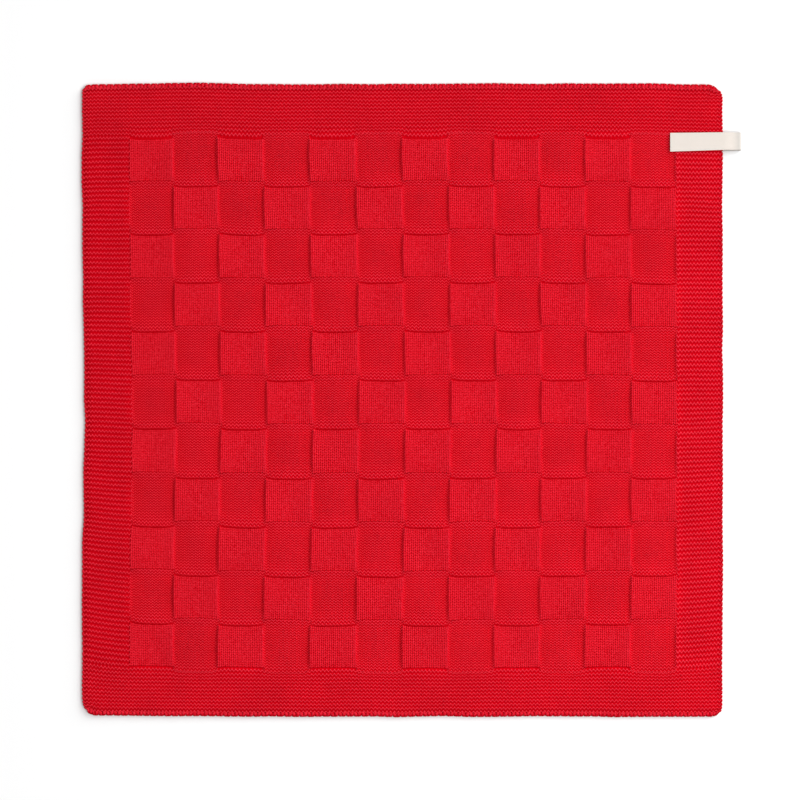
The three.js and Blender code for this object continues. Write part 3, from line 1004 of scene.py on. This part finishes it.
# %% [markdown]
# ## Garter border
#
# In garter stitch a knit course follows each purl course. The purl courses stand up as ridges
# and the knit ones sink between them, so one bold rope for each ridge is what shows. The border's
# ropes run from edge to edge above and below the field, and beside it they end at its sides.

# %% The border's ridges
GARTER_SHARE = 0.66
GARTER_ROPE = {"height": 0.00150, "sink": 0.00088, "dip": 0.00045}
# How pale each border's crests are painted, a painted highlight: most on the right-hand border,
# least on the left, which is painted deeper
LEFT_RISE = 0.75
RIGHT_RISE = 0.92
TOP_RISE = 0.82
LEFT_SWING = 0.00085
RIGHT_SWING = 0.00096
TOP_SWING = 0.00084
LEFT_INSET = 0.0009
RIGHT_INSET = 0.0002
GARTER_JITTER = 1.4


def make_ridges(left, right, stitches, top, bottom, ridges, swing, top_rise):
    """Ridges of garter stitch that fill a rectangle of the chart."""
    pitch = (top - bottom) / ridges
    size = {"swing": swing, "width": GARTER_SHARE * pitch, "top_rise": top_rise, **GARTER_ROPE}
    ropes = make_rope("garter_ridge", stitches, (right - left) / stitches, **size)
    shift(ropes, (left, top - pitch / 2, 0))
    return repeat(ropes, ridges, (0, -pitch, 0))


all_stitches = LEFT_STITCHES + BLOCK_COLUMNS * BLOCK_STITCHES + RIGHT_STITCHES
cloth_left = -WIDTH / 2 + LEFT_INSET
cloth_right = WIDTH / 2 - RIGHT_INSET
cloth_top = LENGTH / 2 - RIDGE_START
cloth_bottom = -LENGTH / 2 + RIDGE_START

# Where each set of ridges begins and ends, and how many there are
top_rows = (cloth_top, FIELD_TOP, TOP_RIDGES)
side_rows = (FIELD_TOP, FIELD_BOTTOM, SIDE_RIDGES)
bottom_rows = (FIELD_BOTTOM, cloth_bottom, BOTTOM_RIDGES)

end_ridges = [
    make_ridges(cloth_left, cloth_right, all_stitches, *rows, TOP_SWING, TOP_RISE)
    for rows in (top_rows, bottom_rows)
]
side_ridges = [
    make_ridges(left, right, stitches, *side_rows, swing, top_rise)
    for left, right, stitches, swing, top_rise in (
        (cloth_left, FIELD_LEFT, LEFT_STITCHES, LEFT_SWING, LEFT_RISE),
        (FIELD_RIGHT, cloth_right, RIGHT_STITCHES, RIGHT_SWING, RIGHT_RISE),
    )
]
finish_yarn(join("garter_ends", *end_ridges), jitter=GARTER_JITTER)
finish_yarn(join("garter_sides", *side_ridges), jitter=GARTER_JITTER)

# %% [markdown]
# ## Edges
#
# Along the cast-off and cast-on edges a chain of yarn wraps over the rim. Its loops come in
# pairs that lean together, with a dark gap between one pair and the next. Along the sides each
# ridge turns back in a small round knot. A loop is a ring of six corners, extruded over the rim.

# %% Loops over the cast-off and cast-on edges
LOOP_WIDTH = 0.0032
LOOP_LEAN = math.radians(14)
LOOP_THICKNESS = 0.00125
LOOP_CORNERS = 6
LOOP_RISE = 0.24
LOOP_RISE_RANGE = 0.4
RIM_RISE_DROP = 0.05
LEFT_LOOP_PLACE = 0.26
LOOP_PATH = (
    # along Y, height, turn in degrees, and thickness
    (-0.0040, -0.00070, -20, 0.40),
    (-0.0033, -0.00030, -14, 0.88),
    (-0.0022, -0.00012, 0, 1.0),
    (-0.0011, -0.00022, 18, 1.0),
    (-0.00040, -0.00090, 60, 1.0),
    (-0.00045, -0.00165, 110, 0.95),
    (-0.0013, -0.00215, 150, 0.6),
)


def make_edge_loop():
    """One loop over an edge at Y = 0, from the top of the cloth round to its underside. Each
    ring turns a little further, so that the loop keeps its thickness round the rim."""
    loop = add_profile("edge_loop", LOOP_CORNERS, "Y", LOOP_WIDTH, LOOP_THICKNESS)
    start = LOOP_PATH[0]
    shift(loop, (0, start[0], start[1] - LOOP_THICKNESS / 2))
    select_where(loop)
    bpy.ops.mesh.edge_face_add()
    for before, after in zip(LOOP_PATH, LOOP_PATH[1:]):
        extrude_by((0, after[0] - before[0], after[1] - before[1]))
        bpy.ops.transform.rotate(
            value=math.radians(after[2] - before[2]),
            orient_axis="X",
            center_override=(0, after[0], after[1]),
        )
    set_mode("OBJECT")
    face_outwards(loop)
    points = read_points(loop)
    rings = np.array(LOOP_PATH)[np.arange(len(points)) // LOOP_CORNERS]
    middle = np.column_stack((np.zeros(len(points)), rings[:, 0], rings[:, 1]))
    points = middle + (points - middle) * rings[:, 3:]
    move_points(loop, points)
    from_middle = (points[:, 2] - rings[:, 1]) / LOOP_THICKNESS
    # Painted highlight on the loop's top, and painted shade at the rim, where it turns under
    on_rim = smooth_step(1 + points[:, 1] / LOOP_WIDTH)
    rise = np.clip(LOOP_RISE + LOOP_RISE_RANGE * from_middle - RIM_RISE_DROP * on_rim, 0, 1)
    map_strand(loop, points[:, 1] / STITCH, 0.5 + points[:, 0] / LOOP_WIDTH, rise)
    points[:, 0] += math.tan(LOOP_LEAN) * (points[:, 1] + LOOP_WIDTH / 2)
    move_points(loop, points)
    return loop


# %% Two rows of loops
def make_edge(name, at_top):
    """A row of loops in pairs along one edge."""
    left_loop = make_edge_loop()
    right_loop = copy_of(left_loop)
    pitch = (cloth_right - cloth_left) / EDGE_PAIRS
    shift(left_loop, (LEFT_LOOP_PLACE * pitch, 0, 0))
    move_points(right_loop, read_points(right_loop) * (-1, 1, 1))
    shift(right_loop, ((1 - LEFT_LOOP_PLACE) * pitch, 0, 0))
    edge = join(name, left_loop, right_loop)
    face_outwards(edge)
    shift(edge, (cloth_left, LENGTH / 2, 0))
    if not at_top:
        move_points(edge, read_points(edge) * (1, -1, 1))
        face_outwards(edge)
    return repeat(edge, EDGE_PAIRS, (pitch, 0, 0))


finish_yarn(join("edge_loops", make_edge("edge_top", True), make_edge("edge_bottom", False)))


# %% Knots along the sides
KNOT_WIDTH = 0.0021
KNOT_HEIGHT = 0.0018
KNOT_LENGTH_SHARE = 1.10
KNOT_SINK = 0.0010
KNOT_RISE_RANGE = 0.20
LEFT_KNOT_INSET = 0.0010
RIGHT_KNOT_INSET = 0.00015
# Where each side's knots lie, and how pale their lowest yarn is painted: the right-hand knots,
# which face the light, are painted deeper, as shade
KNOT_SIDES = ((-WIDTH / 2 + LEFT_KNOT_INSET, 0.18), (WIDTH / 2 - RIGHT_KNOT_INSET, 0.0))


def make_knots(x, low_rise, top, bottom, ridges):
    """A column of round knots, one at the end of each ridge."""
    pitch = (top - bottom) / ridges
    deselect()
    bpy.ops.mesh.primitive_uv_sphere_add(segments=8, ring_count=6, radius=0.5)
    knot = bpy.context.object
    knot.data.uv_layers.remove(knot.data.uv_layers[0])
    set_mode("EDIT")
    bpy.ops.transform.resize(value=(KNOT_WIDTH, KNOT_LENGTH_SHARE * pitch, KNOT_HEIGHT))
    bpy.ops.transform.translate(value=(x, top - pitch / 2, -KNOT_SINK))
    set_mode("OBJECT")
    points = read_points(knot)
    rise = low_rise + KNOT_RISE_RANGE * (points[:, 2] - points[:, 2].min()) / KNOT_HEIGHT
    map_strand(knot, points[:, 1] / STITCH, points[:, 2] / KNOT_HEIGHT, rise)
    return repeat(knot, ridges, (0, -pitch, 0))


knots = [
    make_knots(x, low_rise, *rows)
    for x, low_rise in KNOT_SIDES
    for rows in (side_rows, top_rows, bottom_rows)
]
finish_yarn(join("side_knots", *knots))

# %% [markdown]
# ## The cloth under the stitches
#
# Between the strands the next layer of yarn shows. One thin closed sheet stands for it, painted in
# a deeper, darker red as shade, with the outline and the blocks of the solid that it replaces. Its
# grid has a line on every edge of a block and some beside it, where the cloth rises and falls, and
# Solidify gives it its thickness.

# %% The sheet
GROUND_DEPTH = 0.00052
GROUND_THICKNESS = 0.0016
GROUND_INSET = 0.0008
GROUND_RISE = 0.25
LAP_FROM = 0.95
BLOCK_LINES = (-1.0, -0.94, -0.84, -0.5, 0.0, 0.5, 0.84, 0.94)
BORDER_STEPS = 6
LABEL_HOLLOW = {"left": 0.2080, "low": 0.1915, "high": 0.2108, "height": 0.0012}


def add_grid(name, columns, rows):
    """A flat grid with so many lines each way, and no map yet."""
    deselect()
    bpy.ops.mesh.primitive_grid_add(x_subdivisions=columns - 1, y_subdivisions=rows - 1, size=1)
    grid = bpy.context.object
    grid.name = name
    grid.data.uv_layers.remove(grid.data.uv_layers[0])
    return grid


def grid_lines(start, field_start, field_end, end, blocks):
    """Places of the grid's lines: even ones in the borders, and the same ones in every block."""
    size = (field_end - field_start) / blocks
    inside = [
        field_start + (block + (line + 1) / 2) * size
        for block in range(blocks)
        for line in BLOCK_LINES
    ]
    before = np.linspace(start, field_start, BORDER_STEPS + 1)[:-1]
    after = np.linspace(field_end, end, BORDER_STEPS + 1)
    return np.array([*before, *inside, *after])


def make_ground():
    reach_y = LENGTH / 2 - GROUND_INSET
    columns = grid_lines(cloth_left, FIELD_LEFT, FIELD_RIGHT, cloth_right, BLOCK_COLUMNS)
    columns = np.sort([*columns, LABEL_HOLLOW["left"]])
    rows = grid_lines(-reach_y, FIELD_BOTTOM, FIELD_TOP, reach_y, BLOCK_ROWS)
    rows = np.sort([*rows, LABEL_HOLLOW["low"], LABEL_HOLLOW["high"]])
    ground = add_grid("towel_cloth", len(columns), len(rows))
    x, y = (places.ravel() for places in np.meshgrid(columns, rows))
    move_points(ground, np.column_stack((x, y, np.full(x.size, -GROUND_DEPTH))))
    # Painted shade: the sheet is painted the furrow's deep red, a little paler only under knit
    # stitches away from the laps of the purl blocks
    knit, _, up = block_places(x, y)
    under_knit = (knit > 0) & (np.abs(up) < LAP_FROM) & (out_of_field(x, y) == 0)
    map_strand(ground, x / STITCH, y / COURSE, np.where(under_knit, GROUND_RISE, 0.0))
    return ground


# %% Its thickness
def thicken_ground(ground):
    """Gives the sheet its thickness, and lifts its underside over the label's back leaf."""
    apply_modifier(ground, "SOLIDIFY", thickness=GROUND_THICKNESS, offset=-1)
    points = read_points(ground)
    points[:, 2] = np.clip(points[:, 2], 0.0, None)
    over_leaf = (
        (points[:, 0] > LABEL_HOLLOW["left"] - MM)
        & (points[:, 1] > LABEL_HOLLOW["low"] - MM)
        & (points[:, 1] < LABEL_HOLLOW["high"] + MM)
    )
    points[over_leaf, 2] = np.maximum(points[over_leaf, 2], LABEL_HOLLOW["height"])
    move_points(ground, points)


ground = make_ground()
finish_yarn(ground, jitter=0.0, material=red_knitting)
thicken_ground(ground)
map_for_bake(ground)
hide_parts("towel")

# %% [markdown]
# ## The label
#
# A cotton tape, folded round the edge: its front leaf lies on the ridges, it bends down past the
# edge and turns back under the cloth. It is bare. The tape is one strip of a grid, bent along its
# length, with a little thickness.

# %% The label's tape
TAPE_LEFT = 0.2095
TAPE_RIGHT = 0.2652
TAPE_TOP_LEFT = 0.2086
TAPE_TOP_RIGHT = 0.2092
TAPE_BOTTOM_LEFT = 0.1940
TAPE_BOTTOM_RIGHT = 0.1958
TAPE_THICKNESS = 0.0005
TAPE_REST = 0.0039
TAPE_BACK = 0.0003
TAPE_FOLD_RADIUS = 0.0014
TAPE_DROOP_FROM = 0.2515
TAPE_BACK_SHIFT = -0.0009
BACK_SHORTER = 0.004
FRONT_STEPS = 33
FOLD_STEPS = 8
BACK_STEPS = 19
WIDE_STEPS = 8
TAPE_CREASE = math.radians(50)


def tape_line():
    """The tape's middle line seen from the side: x and height, from the front end to the back."""
    fold_x = TAPE_RIGHT - TAPE_FOLD_RADIUS - TAPE_THICKNESS / 2
    fold_z = TAPE_BACK + TAPE_FOLD_RADIUS
    front = np.linspace(TAPE_LEFT, fold_x, FRONT_STEPS + 1)
    droop = smooth_step((front - TAPE_DROOP_FROM) / (fold_x - TAPE_DROOP_FROM))
    front_z = TAPE_REST - (TAPE_REST - fold_z - TAPE_FOLD_RADIUS) * droop
    angles = np.linspace(math.pi / 2, -math.pi / 2, FOLD_STEPS + 1)[1:]
    fold_line_x = fold_x + TAPE_FOLD_RADIUS * np.cos(angles)
    fold_line_z = fold_z + TAPE_FOLD_RADIUS * np.sin(angles)
    back = np.linspace(fold_x, TAPE_LEFT + BACK_SHORTER, BACK_STEPS + 1)[1:]
    x = np.concatenate((front, fold_line_x, back))
    z = np.concatenate((front_z, fold_line_z, np.full(len(back), TAPE_BACK)))
    return np.column_stack((x, z))


# %% The tape laid along its line
def make_tape():
    line = tape_line()
    tape = add_grid("label_tape", len(line), WIDE_STEPS + 1)
    across = np.linspace(0, 1, WIDE_STEPS + 1)
    share = np.repeat(across, len(line))
    x = np.tile(line[:, 0], len(across))
    z = np.tile(line[:, 1], len(across))
    along = (x - TAPE_LEFT) / (TAPE_RIGHT - TAPE_LEFT)
    top = TAPE_TOP_LEFT + (TAPE_TOP_RIGHT - TAPE_TOP_LEFT) * along
    bottom = TAPE_BOTTOM_LEFT + (TAPE_BOTTOM_RIGHT - TAPE_BOTTOM_LEFT) * along
    lowness = np.clip((TAPE_REST - z) / (TAPE_REST - TAPE_BACK), 0, 1)
    y = bottom + (top - bottom) * share + TAPE_BACK_SHIFT * lowness
    move_points(tape, np.column_stack((x, y, z)))
    travelled = np.concatenate(([0], np.cumsum(np.hypot(*np.diff(line, axis=0).T))))
    map_strand(tape, np.tile(travelled, len(across)) / MM, share)
    face_outwards(tape)
    apply_modifier(tape, "SOLIDIFY", thickness=TAPE_THICKNESS, offset=0)
    bpy.ops.object.shade_smooth_by_angle(angle=TAPE_CREASE)
    return tape, float(travelled[-1])


tape, tape_length = make_tape()
print(f"the tape is {tape_length:.4f} m long")


# %% [markdown]
# The tape is a plain weave: fine threads across it and finer ones along it, over and under each
# other. That is a relief of a few hundredths of a millimetre, so it stays a bump that follows the
# tape's own map. From near the fold on, round it and along the back leaf under the cloth, the tape
# is painted a little greyer, as shade, with random clouds.

# %% The tape's finish
TAPE_COLOUR = (0.672, 0.610, 0.556, 1)
FOLD_SHADE_COLOUR = (0.53, 0.50, 0.465, 1)
TAPE_THREADS_A_MM = 2.2
TAPE_RIBS_A_MM = 1.4
THREAD_DEPTH = 0.00004
FOLD_SHADE_FROM = 47.0
FOLD_SHADE_TO = 57.0
CLOUD_SCALE = 260
CLOUD_RANGE = 0.4


def make_tape_finish():
    """Bare woven tape. Its map runs along it in millimetres, and across it from 0 to 1."""
    material, tree, shader = new_material("woven_tape", roughness=0.8)
    strand = add_node(tree, "UVMap", uv_map="Strand").outputs["UV"]
    along, across = add_node(tree, "SeparateXYZ", {0: strand}).outputs[:2]
    wide = (TAPE_TOP_LEFT - TAPE_BOTTOM_LEFT) / MM
    threads = calculate(tree, "MULTIPLY", across, math.tau * TAPE_THREADS_A_MM * wide)
    ribs = calculate(tree, "MULTIPLY", along, math.tau * TAPE_RIBS_A_MM)
    thread_wave = calculate(tree, "SINE", threads)
    over = calculate(tree, "MULTIPLY", thread_wave, calculate(tree, "SINE", ribs))
    place = add_node(tree, "TexCoord").outputs["Object"]
    cloudy = add_noise(tree, place, CLOUD_SCALE, 2)
    # Painted shade: greyer from near the fold on and along the back leaf, with random clouds
    fold_shade_and_clouds = soft_range(tree, along, FOLD_SHADE_FROM, FOLD_SHADE_TO)
    fold_shade_and_clouds = calculate(tree, "SUBTRACT", fold_shade_and_clouds, CLOUD_RANGE / 2)
    fold_shade_and_clouds = calculate(tree, "MULTIPLY_ADD", cloudy, CLOUD_RANGE, fold_shade_and_clouds)
    share = add_node(tree, "Clamp", {0: fold_shade_and_clouds}).outputs[0]
    colour = blend_colours(tree, share, TAPE_COLOUR, FOLD_SHADE_COLOUR)
    dress(tree, shader, colour, over, THREAD_DEPTH)
    return material


tape.data.materials.append(make_tape_finish())
map_for_bake(tape)
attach(tape, "root")
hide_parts("label")


# %% The floor's finish
FLOOR_WHITE = (0.862, 0.862, 0.862, 1)

floor_finish, _, floor_shader = new_material("pale_floor", roughness=0.9)
floor_shader.inputs["Base Color"].default_value = FLOOR_WHITE
floor.data.materials.append(floor_finish)
